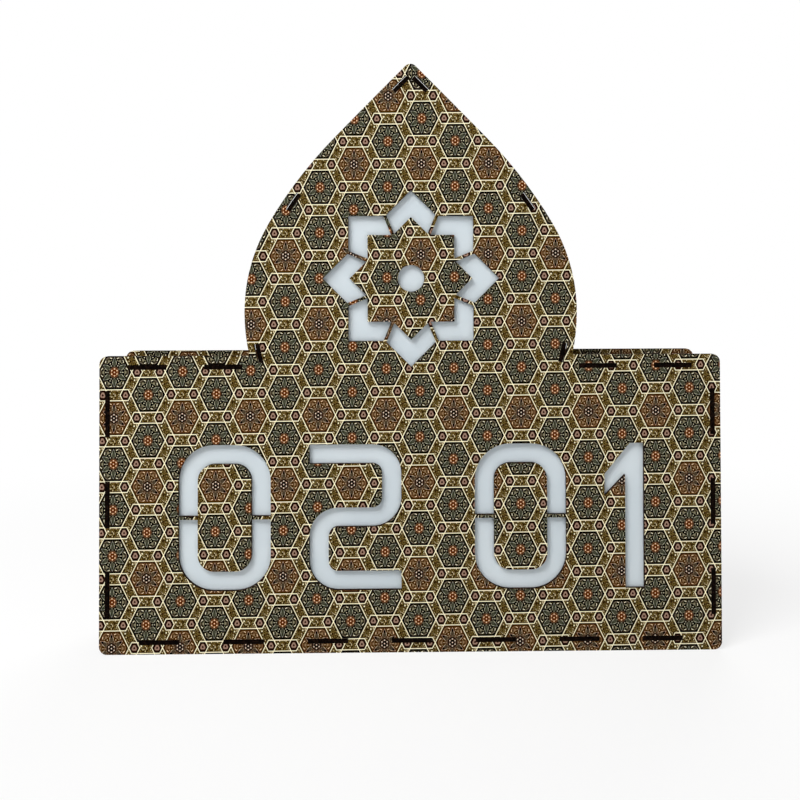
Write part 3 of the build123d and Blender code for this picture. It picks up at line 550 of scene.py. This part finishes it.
def scorch(f):
    """Colour of a laser-cut edge: char in streaks through the sheet, and soot on the tabs' ends."""
    char = f.lay(CHAR, CHAR_BROWN, f.noise(STREAK_GRAIN, detail=2.0).ramp(*STREAK_RAMP))
    ends = f.lay(SOOT, SOOT_BROWN, f.noise(SOOT_GRAIN).ramp(*SOOT_RAMP))
    return f.lay(char, ends, abs(f.facing[Y]).over(*SHEET_SIDE))


def outward(axis, sign=1.0):
    """How squarely a face looks out along an axis, or against it."""
    return lambda f: f.facing[axis] * sign


def along(axis):
    """Length along an axis."""
    return lambda f: f.at[axis]


def dome_side(f):
    """How squarely a face of a dome strip looks outwards."""
    rise = f.z - DOME_MIDDLE
    return (f.facing[X] * f.x + f.facing[Z] * rise).math("DIVIDE", length(f.x, rise))


def dome_way(f):
    """Length along a dome strip."""
    return f.z + (DOME_HALF_W - abs(f.x)) * FLANK_STRETCH


def board(name, side, across=None, up=None, origin=(0.0, 0.0)):
    """Sheet with a printed side, a raw side and scorched cuts between them. A raw sheet has no print."""
    f = Finish(name)
    facing = side(f)
    felt = f.noise(ROUGH_GRAIN, detail=2.0)
    rough = (felt - NOISE_MIDDLE) * ROUGH_SPREAD + RAW_ROUGH
    tone = f.lay(scorch(f), fibre(f), abs(facing).over(*SHEET_SIDE))
    if across:
        printed = facing.over(*SHEET_SIDE)
        tone = f.lay(tone, inlay(f, across(f) - origin[0], up(f) - origin[1]), printed)
        rough = rough - printed * (RAW_ROUGH - PRINT_ROUGH)
    f.colour(tone)
    f.rough(rough)
    f.set(Specular_IOR_Level=BOARD_GLOSS)
    f.bump(felt, BOARD_BUMP, BOARD_BUMP_H)
    return f


def plain(name, colours, grain, rough, spread=0.05, metal=0.0, bump=0.1, marks=None, mark=None):
    """Moulded or plated surface with fine mottling, and marks of another colour where there are any."""
    f = Finish(name)
    cloudy = f.noise(grain)
    tone = f.lay(*colours, cloudy.ramp(*MOTTLE_RAMP))
    if marks:
        tone = f.lay(tone, mark, marks(f))
    f.colour(tone)
    f.rough((cloudy - NOISE_MIDDLE) * spread + rough)
    f.set(Metallic=metal)
    f.bump(cloudy, bump, FITTING_BUMP_H)
    return f


def key_marks(f):
    """White strokes at the rocker's two ends, one and two, with a ring between them for off."""
    low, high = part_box("switch_rocker")
    across = f.x - (low[X] + high[X]) / 2
    up = f.z - (low[Z] + high[Z]) / 2
    one = across.around(MARK_REACH, MARK_STROKE / 2, MARK_SOFT)
    two = abs(across + MARK_REACH).around(MARK_STROKE, MARK_STROKE / 2, MARK_SOFT)
    strokes = one.most(two) * abs(up).under(MARK_H / 2, MARK_SOFT)
    ring = length(across, up).around(MARK_RING_R, MARK_STROKE / 2, MARK_SOFT)
    return strokes.most(ring) * f.facing[Y].over(*SMALL_SIDE)


def phosphor(zone):
    """Round lit spots, one in the middle of each chip of a chamber."""
    low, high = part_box(f"{zone}_chips")

    def spots(f):
        across = nearest(f.x, CHIP_PITCH, low[X] + CHIP_SIZE / 2)
        up = nearest(f.z, high[Z] - low[Z] - CHIP_SIZE, low[Z] + CHIP_SIZE / 2)
        return length(across, up).under(SPOT_R, MARK_SOFT) * (f.facing[Y] * -1.0).over(*SMALL_SIDE)

    return spots


# Sheets: the side that is printed, the ways across and up its print, and where the print starts
board("printed_front", outward(Y, -1.0), along(X), along(Z), FRONT_PRINT).dress("front_panel")
board("printed_back", outward(Y, -1.0), along(X), along(Z), BACK_PRINT).dress("back_panel")
board("printed_bottom", outward(Z, -1.0), along(X), along(Y), SIDE_PRINT).dress("bottom_wall")
board("printed_left", outward(X, -1.0), along(Y), along(Z), SIDE_PRINT).dress("left_wall")
board("printed_right", outward(X), along(Y), along(Z), SIDE_PRINT).dress("right_wall")
ledge = board("printed_ledge", outward(Z), along(X), along(Y), SIDE_PRINT)
ledge.dress("left_ledge_wall", "right_ledge_wall")
dome = board("printed_dome", dome_side, along(Y), dome_way, SIDE_PRINT)
dome.dress("left_dome_wall", "right_dome_wall")
board("raw_cross", outward(Z)).dress("cross_partition")
board("raw_upright", outward(X)).dress("upright_partition")

opal = Finish("opal_acrylic")
opal.colour(opal.lay(*OPAL, opal.noise(OPAL_CLOUD, detail=2.0).ramp(*OPAL_RAMP)))
opal.rough(opal.noise(OPAL_GRAIN) * OPAL_ROUGH_SPREAD + OPAL_ROUGH)
opal.set(IOR=OPAL_IOR, Specular_IOR_Level=OPAL_GLOSS)
opal.set(Subsurface_Weight=OPAL_SCATTER, Subsurface_Radius=(1.0, 1.0, 1.0), Subsurface_Scale=OPAL_REACH)
opal.dress("left_diffuser", "right_diffuser", "upper_diffuser")

film = plain("tape_film", FILM, grain=400.0, rough=0.45)
film.dress("left_tapes", "right_tapes", "upper_tapes")
for zone in ("left", "right", "upper"):
    chip = plain(f"light_chip_{zone}", CHIP, grain=800.0, rough=0.35, marks=phosphor(zone), mark=PHOSPHOR)
    chip.dress(f"{zone}_chips")
case = plain("switch_case", CASE_BLACK, grain=2200.0, rough=0.55, spread=0.2, bump=0.4)
case.dress("switch_housing")
key = plain("switch_key", KEY_BLACK, grain=900.0, rough=0.24, marks=key_marks, mark=MARK_WHITE)
key.dress("switch_rocker")
tin = plain("plated_contact", TIN, grain=900.0, rough=0.3, spread=0.2, metal=1.0)
tin.dress("switch_blades", "jack_lugs", "jack_pin")
jack = plain("jack_case", JACK_BLACK, grain=1600.0, rough=0.5, spread=0.15, bump=0.3)
jack.dress("jack_body")
nut = plain("plated_nut", NICKEL, grain=700.0, rough=0.25, spread=0.2, metal=1.0)
nut.dress("jack_nut")
red = plain("red_wire", WIRE_RED, grain=500.0, rough=0.4)
red.dress("wire_supply", "wire_right_plus", "wire_left_plus", "wire_upper_plus")
black = plain("black_wire", WIRE_BLACK, grain=500.0, rough=0.42)
black.dress("wire_right_minus", "wire_left_minus", "wire_upper_minus")
white = plain("white_wire", WIRE_WHITE, grain=500.0, rough=0.42)
white.dress("tape_links")


def seen(tree):
    """1 for what the camera sees, straight or in a reflection."""
    path = tree.nodes.new("ShaderNodeLightPath")
    straight = Field(tree, path.outputs["Is Camera Ray"])
    glossy = Field(tree, path.outputs["Is Glossy Ray"])
    return straight.most(glossy).most(Field(tree, path.outputs["Is Transmission Ray"]))


def make_floor():
    """White floor that keeps some of the shadow near the board."""
    mesh = bpy.data.meshes.new("floor")
    corners = [(-1, -1), (1, -1), (1, 1), (-1, 1)]
    points = [(x * FLOOR_HALF, y * FLOOR_HALF, -FLOOR_DROP) for x, y in corners]
    mesh.from_pydata(points, [], [(0, 1, 2, 3)])
    floor = bpy.data.objects.new("floor", mesh)
    bpy.context.scene.collection.objects.link(floor)
    f = Finish("floor_white")
    f.set(Base_Color=FLOOR_GREY, Roughness=1.0, Specular_IOR_Level=0.0)
    white_light = f.tree.nodes.new("ShaderNodeEmission")
    mix = f.tree.nodes.new("ShaderNodeMixShader")
    share = seen(f.tree) * length(f.x, f.y).ramp(SHADOW_NEAR, SHADOW_FAR, SHADOW_WHITE, 1.0)
    f.tree.links.new(share.socket, mix.inputs[0])
    f.tree.links.new(f.shader.outputs[0], mix.inputs[1])
    f.tree.links.new(white_light.outputs[0], mix.inputs[2])
    f.tree.links.new(mix.outputs[0], f.tree.nodes["Material Output"].inputs["Surface"])
    mesh.materials.append(f.material)


def make_world():
    """White all round for the camera, and a lower level of the same light on the board."""
    world = bpy.data.worlds.new("studio")
    bpy.context.scene.world = world
    world.use_nodes = True
    tree = world.node_tree
    strength = seen(tree).ramp(0.0, 1.0, WORLD_LEVEL, 1.0)
    shade = tree.nodes["Background"]
    shade.inputs["Color"].default_value = WORLD_WHITE
    tree.links.new(strength.socket, shade.inputs["Strength"])


def make_light(name, place, size, power):
    """Square lamp that points at the middle of the board."""
    lamp = bpy.data.lights.new(name, "AREA")
    lamp.shape = "SQUARE"
    lamp.size = size
    lamp.energy = power
    light = bpy.data.objects.new(name, lamp)
    light.location = place
    light.rotation_euler = (LIGHT_AIM - Vector(place)).to_track_quat("-Z", "Y").to_euler()
    bpy.context.scene.collection.objects.link(light)


make_floor()
make_world()
for name, settings in LAMPS.items():
    make_light(name, *settings)

lens = bpy.data.cameras.new("photo")
lens.sensor_width = SENSOR
lens.lens = SENSOR * FOCAL_PX / IMAGE_PX
lens.shift_x, lens.shift_y = LENS_SHIFT
camera = bpy.data.objects.new("photo", lens)
camera.location = CAMERA_PLACE
camera.rotation_euler = [radians(turn) for turn in CAMERA_TURN]
bpy.context.scene.collection.objects.link(camera)
bpy.context.scene.camera = camera
bpy.context.scene.view_settings.view_transform = "Standard"
